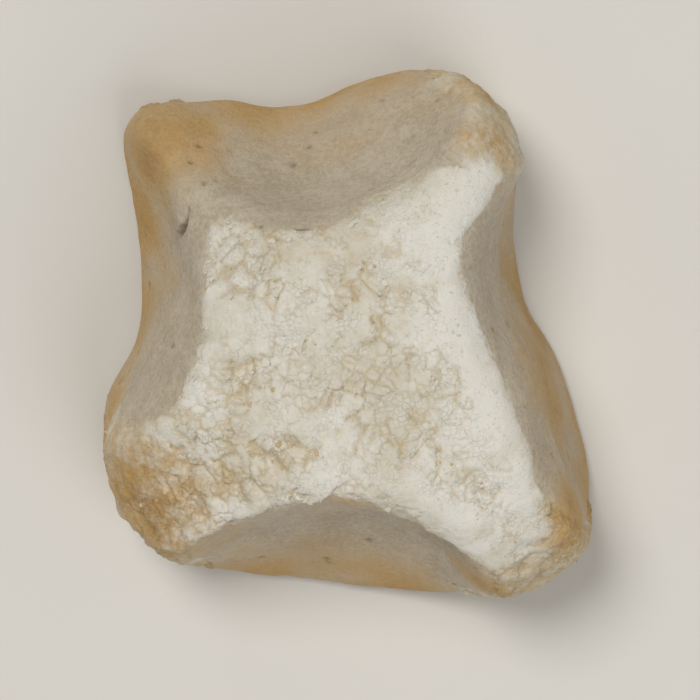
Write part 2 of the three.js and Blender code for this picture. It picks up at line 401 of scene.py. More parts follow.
def icosphere_form(subdivisions):
    """Points and triangles of a ball of radius 1."""
    solid = bmesh.new()
    bmesh.ops.create_icosphere(solid, subdivisions=subdivisions, radius=1)
    points = np.array([vertex.co for vertex in solid.verts])
    triangles = np.array([[vertex.index for vertex in face.verts] for face in solid.faces])
    solid.free()
    return points, triangles


def geodesic_ball(splits):
    """Directions and triangles of an icosahedron whose sides are each split evenly."""
    corners, faces = icosphere_form(1)
    points, triangles = [], []
    for face in faces:
        a, b, c = corners[face]
        number = {}
        for i in range(splits + 1):
            for j in range(splits + 1 - i):
                number[i, j] = len(points)
                points.append(a + (b - a) * i / splits + (c - a) * j / splits)
        for i, j in number:
            if i + j < splits:
                triangles.append((number[i, j], number[i + 1, j], number[i, j + 1]))
            if i + j < splits - 1:
                triangles.append((number[i + 1, j], number[i + 1, j + 1], number[i, j + 1]))
    points = np.array(points)
    _, first, merged = np.unique(np.round(points, 6), axis=0, return_index=True, return_inverse=True)
    directions = points[first] / np.linalg.norm(points[first], axis=1, keepdims=True)
    return directions, merged.reshape(-1)[np.array(triangles)]


def drawn_out(directions):
    """Where rays from the middle of the lump leave it."""
    centre = np.array([0, 0, CENTRE_HEIGHT])
    inside = np.zeros(len(directions))
    outside = np.full(len(directions), float(REACH_LIMIT))
    for _ in range(HALVINGS):
        middle = (inside + outside) / 2
        within = flat_based_lump(centre + directions * middle[:, None]) < 0
        inside = np.where(within, middle, inside)
        outside = np.where(within, outside, middle)
    return centre + directions * inside[:, None]


def pressed(points, steps):
    """The points, moved onto the surface of the pressed dough."""
    for _ in range(steps):
        slope = slope_of(pressed_dough, points)
        steepness = np.maximum((slope**2).sum(axis=1), 0.1)
        points = points - slope * (pressed_dough(points) / steepness)[:, None]
    return points


def edges_of(triangles):
    sides = np.sort(triangles[:, [[0, 1], [1, 2], [2, 0]]].reshape(-1, 2), axis=1)
    return np.unique(sides, axis=0)


def evened(points, triangles, rounds):
    """The points, each moved to the middle of its neighbours and back to the surface, a few times."""
    edges = edges_of(triangles)
    ends = np.concatenate([edges[:, 0], edges[:, 1]])
    others = np.concatenate([edges[:, 1], edges[:, 0]])
    counts = np.bincount(ends, minlength=len(points))
    for _ in range(rounds):
        middle = [np.bincount(ends, points[others, axis], len(points)) / counts for axis in range(3)]
        points = pressed(np.stack(middle, axis=1), steps=2)
    return points


def refined(points, triangles, chosen):
    """Splits the chosen triangles in four, and their neighbours so that all of them still meet."""
    sides = np.sort(triangles[:, [[0, 1], [1, 2], [2, 0]]], axis=2)
    keys = sides[..., 0].astype(np.int64) * len(points) + sides[..., 1]
    cut_keys = np.unique(keys[chosen])
    place = np.minimum(np.searchsorted(cut_keys, keys), len(cut_keys) - 1)
    is_cut = cut_keys[place] == keys
    middle = len(points) + place
    halves = (points[cut_keys // len(points)] + points[cut_keys % len(points)]) / 2
    cuts = is_cut.sum(axis=1)
    made = [triangles[cuts == 0]]
    a, b, c = triangles[cuts == 3].T
    ab, bc, ca = middle[cuts == 3].T
    made += [np.stack(three, axis=1) for three in ((a, ab, ca), (ab, b, bc), (ca, bc, c), (ab, bc, ca))]
    for turn in range(3):
        corner, half, cut = (np.roll(table, -turn, axis=1) for table in (triangles, middle, is_cut))
        one = (cuts == 1) & cut[:, 0]
        a, b, c = corner[one].T
        ab = half[one, 0]
        made += [np.stack(three, axis=1) for three in ((a, ab, c), (ab, b, c))]
        two = (cuts == 2) & cut[:, 0] & cut[:, 1]
        a, b, c = corner[two].T
        ab, bc = half[two, 0], half[two, 1]
        made += [np.stack(three, axis=1) for three in ((ab, b, bc), (a, ab, bc), (a, bc, c))]
    return np.concatenate([points, pressed(halves, steps=3)]), np.concatenate(made)


def beside_line(spots, start, end):
    """Distance from the line between two spots, and how far along it, from 0 to 1."""
    side = np.subtract(end, start)
    from_start = spots - start
    share = np.clip(from_start @ side / (side @ side), 0, 1)
    return np.linalg.norm(from_start - share[:, None] * side, axis=1), share


def pit_depths(points, pits, salt):
    """Small round pits scattered in a surface: how deep each point lies in one, from 0 to 1."""
    spacing, radius, share = pits
    away, _, draw, _ = cells(points, spacing, salt)
    reach = radius * (0.45 + 2.2 * np.maximum(draw - share, 0))
    return ease(reach - away, -0.02, 0.7 * radius) * (draw > share)


def pore_depths(points):
    """The pores of the pressed hollows."""
    return pit_depths(points, PORES, 91)


def gap_shares(points):
    """How far inside a torn gap each point is, from 0 to 1, and how deep the gap is there."""
    inside = np.zeros(len(points))
    depth = np.zeros(len(points))
    shaken = warped(points, 1.1, 0.22, 97)
    for start_x, start_y, end_x, end_y, width, deep, lowest in GAPS:
        away, along = beside_line(shaken[:, :2], (start_x, start_y), (end_x, end_y))
        taper = width * (0.1 + np.sqrt(4 * along * (1 - along)) * (1.2 - 0.6 * along))
        share = 1 - ease(away, 0.3 * taper, taper)
        share *= ease(points[:, 2], lowest - 1.5, lowest + 1.5)
        depth = np.maximum(depth, deep * share)
        inside = np.maximum(inside, share)
    return inside, depth


def dough_mesh():
    """Points and triangles on the pressed dough, finest where the sugar crust is seen from above."""
    directions, triangles = geodesic_ball(START_SPLITS)
    directions[:, 2] = np.where(directions[:, 2] < 0, directions[:, 2] * BASE_THRIFT, directions[:, 2])
    directions /= np.linalg.norm(directions, axis=1, keepdims=True)
    points = evened(pressed(drawn_out(directions), steps=10), triangles, rounds=7)

    points, triangles = refined(points, triangles, np.ones(len(triangles), bool))
    points = evened(points, triangles, rounds=3)

    middles = points[triangles].mean(axis=1)
    in_gap = gap_shares(middles)[0] > 0
    shown = (finger_distance(middles) > -0.8) | (pore_depths(middles) > 0) | in_gap
    points, triangles = refined(points, triangles, shown & (middles[:, 2] > BASE_SKIN))
    points = evened(points, triangles, rounds=2)

    middles = points[triangles].mean(axis=1)
    worth = ease(finger_distance(middles), -0.2, 0.6) * (1 + 2 * ease(middles[:, 2], 6, 18))
    worth = np.maximum(worth, PORE_WORTH * (pore_depths(middles) > 0))
    worth = np.maximum(worth, GAP_WORTH * (gap_shares(middles)[0] > 0))
    room = (TRIANGLE_LIMIT - len(triangles)) / SPLIT_COST
    finest = np.zeros(len(triangles), bool)
    finest[np.argsort(-worth, kind="stable")[: int(room)]] = True
    points, triangles = refined(points, triangles, finest & (worth > 0))
    return evened(points, triangles, rounds=1), triangles


# ---------------------------------------------------------------- the crust's relief


def zone(points, places):
    """How strongly each point belongs to a list of round places seen from above."""
    x, y = points[:, 0], points[:, 1]
    share = np.zeros(len(points))
    for place_x, place_y, radius, strength in places:
        away = (x - place_x) ** 2 + (y - place_y) ** 2
        share = np.maximum(share, strength * np.exp(-away / radius**2))
    return share


def crown_distance(points):
    """How far inside the crown's edge each point is, seen from above; negative outside it."""
    spot = points[:, :2]
    nearest = np.full(len(points), np.inf)
    inside = np.zeros(len(points), bool)
    for start, end in zip(CROWN_EDGE, CROWN_EDGE[1:] + CROWN_EDGE[:1]):
        nearest = np.minimum(nearest, beside_line(spot, start, end)[0])
        spans = (spot[:, 1] < start[1]) != (spot[:, 1] < end[1])
        crosses_at = start[0] + (spot[:, 1] - start[1]) * (end[0] - start[0]) / (end[1] - start[1])
        inside ^= spans & (spot[:, 0] < crosses_at)
    return np.where(inside, nearest, -nearest)


def toasting(points, edge, sugared):
    """How much the oven has browned each point, from 0 to 1."""
    x, y, z = points.T
    toast = np.zeros(len(points))
    for spot_x, spot_y, spot_z, radius, strength in TOASTED:
        away = (x - spot_x) ** 2 + (y - spot_y) ** 2 + (z - spot_z) ** 2
        toast = np.maximum(toast, strength * np.exp(-away / radius**2))
    near_base = 1 - ease(z + 2 * noise(points, 6, 70), -3, 17)
    rim = near_base * (0.72 + 0.2 * noise(points, 5, 71))
    flank = (1 - sugared) * ease(edge, -0.6, 1.5) * (0.5 - 0.2 * ease(z, 3, 14))
    toast = np.maximum(np.maximum(toast, rim), flank)
    return np.clip(toast + 0.15 * noise(points, 3.2, 72) * ease(toast, 0, 0.3), 0, 1)


def crust_fields(points, outwards, sizes):
    """What the surface is like at each point, in millimetres and in shares from 0 to 1."""
    x, _, z = points.T
    finger = finger_distance(points)
    crown = crown_distance(points)
    frayed = crown + 0.9 * noise(points, 2.4, 74) + 0.4 * noise(points, 0.9, 75)
    sugared = ease(outwards[:, 2], 0.1, 0.7) * ease(frayed, -2, 1.2)
    foot = 3.2 * (1 - ease(z, 1.5, 9))
    ragged = 0.28 * noise(points, 1.9, 11) + 0.16 * noise(points, 0.7, 12)
    edge = np.maximum(finger - foot - 0.9, np.minimum(crown, finger + 0.7))
    edge = (edge + ragged * (0.4 + 1.8 * zone(points, FLAKY))) * (1 - zone(points, FADED))

    rolled = np.exp(-(((finger - 1.3) / 1.3) ** 2)) * (0.3 + 0.7 * ease(x, 4, 9)) * sugared
    crackle = 0.5 + 0.34 * zone(points, CRACKLED) + 0.16 * noise(points, 5, 61)
    crackle = (crackle + (0.68 - crackle) * (1 - sugared)) * (1 - 0.85 * rolled)
    crackle = np.clip(crackle, 0, 1) * (1 - zone(points, CALM))
    # The sugar is thicker, and so whiter, where the painted highlights of the right ridge and the front
    # tip lie
    sugar = np.clip(0.38 + 0.22 * noise(points, 3.4, 73) + 0.6 * zone(points, THICK_SUGAR_AND_HIGHLIGHTS), 0, 1)
    sugar *= 0.35 + 0.65 * sugared

    wide, wide_draw, wide_lean = crack_net(points, sizes.plate / MM, 0.8, 31)
    wide = np.minimum(wide, vein_distance(points, VEIN_SPACING, 38) + 0.4 * (1 - crackle))
    open_wide = ease(crackle + 0.5 * noise(points, 2.3, 39), 0.42, 0.78)
    small, small_draw, small_lean = crack_net(points, sizes.small_plate / MM, 0.38, 51)
    open_small = ease(crackle + 0.5 * noise(points, 1.4, 59), 0.25, 0.6)
    return {
        "edge": edge,
        "crackle": crackle,
        "toast": toasting(points, edge, sugared),
        "sugar": sugar,
        "rolled": rolled,
        "pinhole": pit_depths(points, PINHOLES, 95) * (1 - rolled) * ease(edge, 0, 0.4),
        "wide": wide + 1.2 * (1 - open_wide),
        "wide_step": wide_draw - 0.5 + WIDE_TILT * wide_lean,
        "small": small + 0.6 * (1 - open_small),
        "small_step": small_draw - 0.5 + SMALL_TILT * small_lean,
    }


def vein_distance(points, size, salt):
    """Distance from the long winding cracks that run across the plates."""
    def level(place):
        return noise(warped(place, 0.9, 0.22, salt + 60), size, salt)

    here = level(points)
    steepness = np.linalg.norm(slope_of(level, points), axis=1)
    return np.abs(here) / np.maximum(steepness, 0.12) + 0.6 * (1 - ease(steepness, 0.1, 0.26))


def crack_net(points, plate, shake, salt):
    """Distance from the cracks between plates, and each plate's draw and tilt."""
    shaken = warped(warped(points, 2.2 * shake + 0.6, shake, salt), 0.55, 0.14, salt + 3)
    return cells(shaken, plate, salt + 10)[1:]


def relief_of(points, made, sizes):
    """How far the surface stands above the plain dough, in millimetres."""
    width = sizes.crack_width / MM * (1 + 0.45 * noise(points, 1.6, 80))
    wide = 1 - ease(made["wide"], 0.1 * width, width)
    small = 1 - ease(made["small"], 0, 0.55 * width)
    pillows = WIDE_SWELL * (1 - np.exp(-made["wide"] / WIDE_SWELL_REACH))
    pillows = pillows + SMALL_SWELL * (1 - np.exp(-made["small"] / SMALL_SWELL_REACH))
    steps = made["crackle"] * (WIDE_STEP * made["wide_step"] + SMALL_STEP * made["small_step"])
    grain = COARSE_GRAIN_HEIGHT * noise(points, COARSE_GRAIN_SIZE, 81)
    grain = grain + FINE_GRAIN_HEIGHT * noise(points, FINE_GRAIN_SIZE, 82)
    lumps = LUMP_HEIGHT * noise(points, LUMP_SIZE, 83)
    rough = 1 - 0.8 * made["rolled"]
    frayed = zone(points, FLAKY) * np.exp(-(((made["edge"] - 0.5) / 0.5) ** 2))
    thick = sizes.crust_thickness / MM * ease(made["edge"], -0.15, 0.6)
    crusted = thick + FRAYED_LIFT * frayed + rough * (lumps + pillows + steps + grain - CRUST_SETTLING)
    cracked = np.maximum(wide, 0.5 * small)
    crusted -= sizes.crack_depth / MM * (0.5 + 0.5 * made["crackle"]) * cracked
    crusted -= PINHOLE_DEPTH * made["pinhole"]

    bare = 0.05 * noise(points, 1.1, 85) + 0.12 * noise(points, 2.6, 86)
    bare = bare - PORE_DEPTH * pore_depths(points)
    share = ease(made["edge"], -0.12, 0.12)
    shaped = share * crusted + (1 - share) * bare - gap_shares(points)[1]
    return ease(points[:, 2], 0, 1.2) * shaped


def fitted(points, low, high):
    """The points, fitted to the CAD solid's box, in millimetres."""
    least, most = points.min(axis=0), points.max(axis=0)
    return low + (points - least) * (high - low) / (most - least)


# ---------------------------------------------------------------- meshes as Blender objects


def new_piece(name, points, triangles, material, smooth=True):
    """A mesh object from points in millimetres, riding on the one body."""
    mesh = bpy.data.meshes.new(name)
    mesh.vertices.add(len(points))
    mesh.vertices.foreach_set("co", (points * MM).astype(np.float32).ravel())
    mesh.loops.add(triangles.size)
    mesh.loops.foreach_set("vertex_index", triangles.astype(np.int32).ravel())
    mesh.polygons.add(len(triangles))
    mesh.polygons.foreach_set("loop_start", np.arange(0, triangles.size, 3, dtype=np.int32))
    mesh.polygons.foreach_set("use_smooth", np.full(len(triangles), smooth))
    mesh.update(calc_edges=True)
    mesh.validate()
    mesh.materials.append(material)
    piece = bpy.data.objects.new(name, mesh)
    bpy.context.scene.collection.objects.link(piece)
    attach(piece, BODY)
    return piece


def paint(piece, name, values):
    """Stores one number for each vertex, for the material to read."""
    layer = piece.data.attributes.new(name, "FLOAT", "POINT")
    layer.data.foreach_set("value", values.astype(np.float32))


# ---------------------------------------------------------------- node helpers


def node(tree, kind, settings=None, **inputs):
    """A node with its settings, and with its inputs set or linked by name (_ stands for a space)."""
    made = tree.nodes.new(kind)
    for name, value in (settings or {}).items():
        setattr(made, name, value)
    for name, value in inputs.items():
        wire(tree, made.inputs[name.replace("_", " ")], value)
    return made


def wire(tree, socket, value):
    """Links an output to a socket, or sets the socket's own value."""
    if isinstance(value, bpy.types.NodeSocket):
        tree.links.new(value, socket)
    elif value is not None:
        socket.default_value = value


def maths(tree, operation, *values, clamp=False):
    made = tree.nodes.new("ShaderNodeMath")
    made.operation = operation
    made.use_clamp = clamp
    for socket, value in zip(made.inputs, values):
        wire(tree, socket, value)
    return made.outputs[0]


def times(tree, a, b):
    return maths(tree, "MULTIPLY", a, b)


def times_plus(tree, a, b, c):
    """a times b, plus c."""
    return maths(tree, "MULTIPLY_ADD", a, b, c)


def remap(tree, value, low, high, to_low=0.0, to_high=1.0):
    """A smooth step from to_low, where value is low, to to_high, where it is high."""
    made = tree.nodes.new("ShaderNodeMapRange")
    made.interpolation_type = "SMOOTHSTEP"
    for socket, number in zip(made.inputs[:5], (value, low, high, to_low, to_high)):
        wire(tree, socket, number)
    return made.outputs[0]


def blend_colour(tree, factor, a, b):
    """Colour a where factor is 0, and colour b where it is 1."""
    made = tree.nodes.new("ShaderNodeMix")
    made.data_type = "RGBA"
    wire(tree, made.inputs[0], factor)
    wire(tree, made.inputs[6], a)
    wire(tree, made.inputs[7], b)
    return made.outputs[2]


def noise_map(tree, vector, size, detail=2.0, rough=0.5):
    """Noise from 0 to 1 with lumps about size millimetres across; vector is in millimetres."""
    made = node(tree, "ShaderNodeTexNoise", Vector=vector, Scale=1 / size, Detail=detail, Roughness=rough)
    return made.outputs[0]


def vector_maths(tree, operation, *values, scale=None):
    made = tree.nodes.new("ShaderNodeVectorMath")
    made.operation = operation
    for socket, value in zip(made.inputs, values):
        wire(tree, socket, value)
    if scale is not None:
        wire(tree, made.inputs["Scale"], scale)
    return made.outputs[0]


def millimetres(tree):
    """The object's own coordinates, in millimetres."""
    place = tree.nodes.new("ShaderNodeTexCoord").outputs["Object"]
    return vector_maths(tree, "SCALE", place, scale=1 / MM)


def attribute(tree, name):
    return node(tree, "ShaderNodeAttribute", {"attribute_name": name}).outputs["Fac"]


def rgba(colour):
    return (*colour, 1.0)


def new_group(name, inputs, outputs):
    """An empty node group with named sockets, and its own ends: name to (type, default) or to type."""
    group = bpy.data.node_groups.new(name, "ShaderNodeTree")
    for socket_name, (kind, default) in inputs.items():
        socket = group.interface.new_socket(name=socket_name, in_out="INPUT", socket_type=kind)
        if default is not None:
            socket.default_value = default
    for socket_name, kind in outputs.items():
        group.interface.new_socket(name=socket_name, in_out="OUTPUT", socket_type=kind)
    return group, group.nodes.new("NodeGroupInput").outputs, group.nodes.new("NodeGroupOutput").inputs


def use_group(tree, build, **inputs):
    """Places a shared effect in a tree; it is built the first time that it is asked for."""
    made = tree.nodes.new("ShaderNodeGroup")
    made.node_tree = bpy.data.node_groups.get(build.__name__) or build(build.__name__)
    for name, value in inputs.items():
        wire(tree, made.inputs[name.replace("_", " ")], value)
    return made.outputs


# ---------------------------------------------------------------- shared effects


def sugar_powder(name):
    """Icing sugar: fine grain, drifts of thicker powder and dark specks between the grains."""
    group, given, out = new_group(
        name,
        {"Vector": ("NodeSocketVector", None), "Grain": ("NodeSocketFloat", 0.12)},
        {"Height": "NodeSocketFloat", "Drift": "NodeSocketFloat", "Speck": "NodeSocketFloat"},
    )
    place = given["Vector"]
    per_grain = maths(group, "DIVIDE", 1.0, given["Grain"])
    per_clump = times(group, per_grain, 0.27)
    kind = "ShaderNodeTexNoise"
    grain = node(group, kind, Vector=place, Scale=per_grain, Detail=3.0, Roughness=0.65).outputs[0]
    clump = node(group, kind, Vector=place, Scale=per_clump, Detail=2.0).outputs[0]
    wire(group, out["Height"], times(group, maths(group, "ADD", grain, clump), 0.6))
    wire(group, out["Drift"], noise_map(group, place, 1.7, 3.0, 0.6))
    wire(group, out["Speck"], remap(group, grain, 0.42, 0.3))
    return group


def hairline_crackle(name):
    """A net of fine cracks, shaken and broken up so that it comes and goes."""
    group, given, out = new_group(
        name,
        {
            "Vector": ("NodeSocketVector", None),
            "Cell": ("NodeSocketFloat", 0.8),
            "Width": ("NodeSocketFloat", 0.08),
            "Amount": ("NodeSocketFloat", 1.0),
        },
        {"Crack": "NodeSocketFloat"},
    )
    place = given["Vector"]
    shake = node(group, "ShaderNodeTexNoise", Vector=place, Scale=1.4, Detail=3.0).outputs["Color"]
    moved = vector_maths(group, "MULTIPLY_ADD", shake, (0.7, 0.7, 0.7), place)
    per_cell = maths(group, "DIVIDE", 1.0, given["Cell"])
    settings = {"feature": "DISTANCE_TO_EDGE"}
    border = node(group, "ShaderNodeTexVoronoi", settings, Vector=moved, Scale=per_cell)
    width = times(group, given["Width"], per_cell)
    crack = remap(group, border.outputs["Distance"], width, 0.0)
    patches = remap(group, noise_map(group, place, 1.9, 3.0, 0.6), 0.36, 0.62)
    crack = maths(group, "MULTIPLY", times(group, crack, patches), given["Amount"], clamp=True)
    wire(group, out["Crack"], crack)
    return group


def oven_toast(name):
    """Dough colour from pale to gold to brown, in uneven patches."""
    group, given, out = new_group(
        name,
        {
            "Vector": ("NodeSocketVector", None),
            "Amount": ("NodeSocketFloat", 0.0),
            "Pale": ("NodeSocketColor", None),
            "Gold": ("NodeSocketColor", None),
            "Brown": ("NodeSocketColor", None),
        },
        {"Color": "NodeSocketColor"},
    )
    place, amount = given["Vector"], given["Amount"]
    patchy = maths(group, "SUBTRACT", noise_map(group, place, 2.2, 3.0, 0.6), 0.5)
    fine = maths(group, "SUBTRACT", noise_map(group, place, 0.5, 4.0, 0.7), 0.5)
    mixed = times_plus(group, fine, 0.8, times(group, patchy, 0.5))
    uneven = maths(group, "ADD", amount, mixed)
    gold = blend_colour(group, remap(group, uneven, -0.1, 0.8), given["Pale"], given["Gold"])
    baked = blend_colour(group, remap(group, uneven, 0.6, 1.3), gold, given["Brown"])
    freckled = remap(group, amount, 0.1, 0.8, 0.0, 0.4)
    freckle = times(group, remap(group, fine, 0.1, 0.24), freckled)
    wire(group, out["Color"], blend_colour(group, freckle, baked, given["Brown"]))
    return group


# ---------------------------------------------------------------- materials


def new_material(name, roughness, shine=0.5):
    """A material with one Principled shader, with its tree and its shader."""
    material = bpy.data.materials.new(name)
    material.use_nodes = True
    tree = material.node_tree
    tree.nodes.clear()
    shader = node(tree, "ShaderNodeBsdfPrincipled", Roughness=roughness, Specular_IOR_Level=shine)
    node(tree, "ShaderNodeOutputMaterial", Surface=shader.outputs[0])
    return material, tree, shader


def add_bump(tree, shader, height, strength, distance):
    """Fine relief; distance is in metres."""
    bump = node(tree, "ShaderNodeBump", Strength=strength, Distance=distance, Height=height)
    wire(tree, shader.inputs["Normal"], bump.outputs[0])


def baked_dough(tree, place, amount, colours):
    """The colour of bare dough, toasted by the given amount."""
    shades = {"Pale": rgba(colours.dough), "Gold": rgba(colours.gold), "Brown": rgba(colours.brown)}
    return use_group(tree, oven_toast, Vector=place, Amount=amount, **shades)["Color"]


def sugared_biscuit(name, colours):
    """Sugar crust, bare pressed dough, cracks, pores and toasted edges, from the mesh's own masks, with
    painted shade in the pores, pinholes, gaps and crack bottoms.
    """
    material, tree, shader = new_material(name, 0.85, 0.35)
    place = millimetres(tree)
    edge, crackle, toast, sugar, wide, small, pore = (attribute(tree, mask) for mask in MASKS)
    powder = use_group(tree, sugar_powder, Vector=place, Grain=0.2)
    fleck = maths(tree, "SUBTRACT", noise_map(tree, place, 0.45, 4.0, 0.7), 0.5)
    dough = baked_dough(tree, place, toast, colours)

    # Where the crust lies, with a ragged edge, and its hairline cracks
    ragged = times_plus(tree, noise_map(tree, place, 0.35, 3.0, 0.7), 0.5, edge)
    crust = remap(tree, maths(tree, "SUBTRACT", ragged, 0.25), -0.12, 0.2)
    brittle = times(tree, crackle, crust)
    hairs = use_group(
        tree, hairline_crackle, Vector=place, Cell=0.55, Width=0.06, Amount=brittle
    )["Crack"]

    # Cracks: how much of their colour shows, and how much painted shade darkens their bottoms
    deepest = maths(tree, "MINIMUM", wide, times(tree, small, 1.6))
    crack_bottom_shade = times(tree, remap(tree, deepest, 0.11, 0.0), remap(tree, crackle, 0.3, 0.9, 0.15, 0.4))
    in_wide = remap(tree, wide, 0.2, 0.03)
    in_small = times(tree, remap(tree, small, 0.15, 0.0), 0.75)
    in_finer = maths(tree, "MAXIMUM", in_small, times(tree, hairs, 0.5))
    cracked = maths(tree, "MAXIMUM", in_wide, in_finer)
    cracked = times(tree, cracked, remap(tree, crackle, 0.3, 0.9, 0.45, 0.72))
    beside = remap(tree, wide, 0.8, 0.1)
    halo = times(tree, beside, remap(tree, crackle, 0.35, 1.0, 0.0, 0.1))

    # The hollows: sugar pressed into the dough, mottled, tanned near the base and dusted, with painted
    # shade in their pores and in the low places of the grain
    mottled = times_plus(tree, fleck, 1.6, noise_map(tree, place, 3.4, 2.0, 0.5))
    mottled = remap(tree, mottled, 0.15, 0.85)
    hollow = blend_colour(tree, mottled, rgba(colours.hollow), rgba(colours.hollow_light))
    tanned = remap(tree, times_plus(tree, fleck, 0.8, toast), 0.05, 0.8)
    hollow = blend_colour(tree, tanned, hollow, dough)
    dusty = times_plus(tree, powder["Drift"], 0.5, times(tree, edge, 0.18))
    dusty = remap(tree, times_plus(tree, fleck, 0.7, dusty), 0.0, 0.5, 0.0, 0.5)
    dusted = times(tree, dusty, remap(tree, toast, 0.3, 0.9, 1.0, 0.3))
    hollow = blend_colour(tree, dusted, hollow, rgba(colours.cream))
    # Painted shade: the low places between the powder's grains darkened with the pore shade colour
    hollow = blend_colour(tree, times(tree, powder["Speck"], 0.35), hollow, rgba(colours.pore))
    # Painted shade: the pores of the hollows darkened where shade falls in them
    hollow = blend_colour(tree, times(tree, pore, 0.65), hollow, rgba(colours.pore))

    # The crust: thick and thin sugar over toasted dough, with its cracks and specks, and painted shade in
    # its pinholes and at the bottoms of its cracks
    drift = times_plus(tree, powder["Drift"], 0.9, maths(tree, "SUBTRACT", sugar, 0.32))
    thick = remap(tree, drift, 0.1, 0.9)
    white = blend_colour(tree, thick, rgba(colours.cream), rgba(colours.sugar))
    cover = maths(tree, "SUBTRACT", times_plus(tree, fleck, 1.1, drift), toast)
    white = blend_colour(tree, remap(tree, cover, -0.62, 0.32), dough, white)
    white = blend_colour(tree, halo, white, rgba(colours.crack))
    # Painted shade: the crust's pinholes darkened where shade falls in them
    white = blend_colour(tree, times(tree, pore, 0.12), white, rgba(colours.pore))
    in_crack = blend_colour(tree, remap(tree, toast, 0.1, 0.6), rgba(colours.crack), dough)
    white = blend_colour(tree, times(tree, cracked, 0.75), white, in_crack)
    # Painted shade at the bottoms of the cracks
    white = blend_colour(tree, crack_bottom_shade, white, rgba(colours.deep))
    white = blend_colour(tree, times(tree, powder["Speck"], 0.3), white, rgba(colours.crack))
    wire(tree, shader.inputs["Base Color"], blend_colour(tree, crust, hollow, white))

    wire(tree, shader.inputs["Roughness"], remap(tree, crust, 0.0, 1.0, 0.65, 0.95))
    shader.inputs["Subsurface Weight"].default_value = 0.12
    shader.inputs["Subsurface Radius"].default_value = (1.0, 0.72, 0.45)
    shader.inputs["Subsurface Scale"].default_value = 0.0012

    pits = remap(tree, crust, 0.0, 1.0, 1.1, 0.5)
    uneven = times(tree, noise_map(tree, place, 0.9, 3.0, 0.6), pits)
    grain = remap(tree, crust, 0.0, 1.0, 0.75, 0.85)
    height = times_plus(tree, powder["Height"], grain, uneven)
    height = maths(tree, "SUBTRACT", height, times(tree, hairs, 0.5))
    add_bump(tree, shader, height, 0.85, 0.0002)
    return material


def icing_sugar(name, colours):
    """Loose icing sugar and lifted flakes."""
    material, tree, shader = new_material(name, 0.95, 0.3)
    powder = use_group(tree, sugar_powder, Vector=millimetres(tree), Grain=0.12)
    colour = blend_colour(tree, powder["Drift"], rgba(colours.cream), rgba(colours.sugar))
    colour = blend_colour(tree, times(tree, powder["Speck"], 0.2), colour, rgba(colours.crack))
    wire(tree, shader.inputs["Base Color"], colour)
    add_bump(tree, shader, powder["Height"], 0.5, 0.0001)
    return material


def toasted_crumb(name, colours):
    """Small baked crumbs of almond dough, some dusted."""
    material, tree, shader = new_material(name, 0.8)
    place = millimetres(tree)
    amount = remap(tree, noise_map(tree, place, 1.8, 2.0), 0.3, 0.7, 0.0, 0.35)
    dough = baked_dough(tree, place, amount, colours)
    powder = use_group(tree, sugar_powder, Vector=place, Grain=0.1)
    dusting = remap(tree, powder["Drift"], 0.45, 0.65, 0.0, 0.35)
    colour = blend_colour(tree, dusting, dough, rgba(colours.cream))
    wire(tree, shader.inputs["Base Color"], colour)
    add_bump(tree, shader, powder["Height"], 0.6, 0.0001)
    return material


def pale_table(name, colour):
    """A pale matt table top with a barely seen unevenness."""
    material, tree, shader = new_material(name, 0.8)
    place = millimetres(tree)
    shade = remap(tree, noise_map(tree, place, 60, 4.0, 0.6), 0.3, 0.7)
    darker = tuple(0.97 * part for part in colour)
    colour = blend_colour(tree, shade, rgba(darker), rgba(colour))
    wire(tree, shader.inputs["Base Color"], colour)
    add_bump(tree, shader, noise_map(tree, place, 0.5, 3.0), 0.05, 0.0002)
    return material


def finish(build, colours):
    """The material that build makes, made only once."""
    return bpy.data.materials.get(build.__name__) or build(build.__name__, colours)


# ---------------------------------------------------------------- loose bits on the surface


def seats_on(piece):
    """Position and outward direction of every vertex of a piece, in millimetres."""
    count = len(piece.data.vertices)
    points = np.empty(count * 3, np.float32)
    normals = np.empty(count * 3, np.float32)
    piece.data.vertices.foreach_get("co", points)
    piece.data.vertices.foreach_get("normal", normals)
    return points.reshape(-1, 3).astype(float) / MM, normals.reshape(-1, 3).astype(float)


def masks_of(piece, *names):
    """The numbers stored on a piece's vertices."""
    found = []
    for name in names:
        values = np.empty(len(piece.data.vertices), np.float32)
        piece.data.attributes[name].data.foreach_get("value", values)
        found.append(values.astype(float))
    return found


def vertex_areas(piece):
    """The surface that each vertex stands for, so that bits are spread evenly over it."""
    mesh = piece.data
    triangles = np.empty(len(mesh.polygons) * 3, np.int32)
    mesh.loops.foreach_get("vertex_index", triangles)
    areas = np.empty(len(mesh.polygons), np.float32)
    mesh.polygons.foreach_get("area", areas)
    return np.bincount(triangles, np.repeat(areas, 3), len(mesh.vertices))


def turned_frames(normals, draw):
    """For each normal, a frame whose third axis is the normal, turned about it at random."""
    helper = np.where(np.abs(normals[:, 2:3]) > 0.8, np.array([[1.0, 0, 0]]), np.array([[0, 0, 1.0]]))
    side = np.cross(helper, normals)
    side /= np.linalg.norm(side, axis=1, keepdims=True)
    other = np.cross(normals, side)
    turn = draw.uniform(0, 2 * math.pi, len(normals))[:, None]
    first = side * np.cos(turn) + other * np.sin(turn)
    return first, np.cross(normals, first), normals


def joined(forms, form_triangles, seats, frames, sizes, sink):
    """One mesh of many copies of a form, each with points of its own and a size for each axis."""
    first, second, up = frames
    local = forms * sizes[:, None, :]
    placed = (
        seats[:, None, :]
        + local[..., 0:1] * first[:, None, :]
        + local[..., 1:2] * second[:, None, :]
        + (local[..., 2:3] - sink[:, None, None]) * up[:, None, :]
    )
    offsets = np.arange(len(seats))[:, None, None] * local.shape[1]
    return placed.reshape(-1, 3), (form_triangles[None] + offsets).reshape(-1, 3)


def drawn_seats(draw, share, count):
    return draw.choice(len(share), count, p=share / share.sum())


def drawn_radii(draw, count, typical, spread, largest):
    """Radii in millimetres: most near the typical one, a few larger, none past the largest."""
    return np.minimum(typical * np.exp(spread * draw.standard_normal(count)), largest)


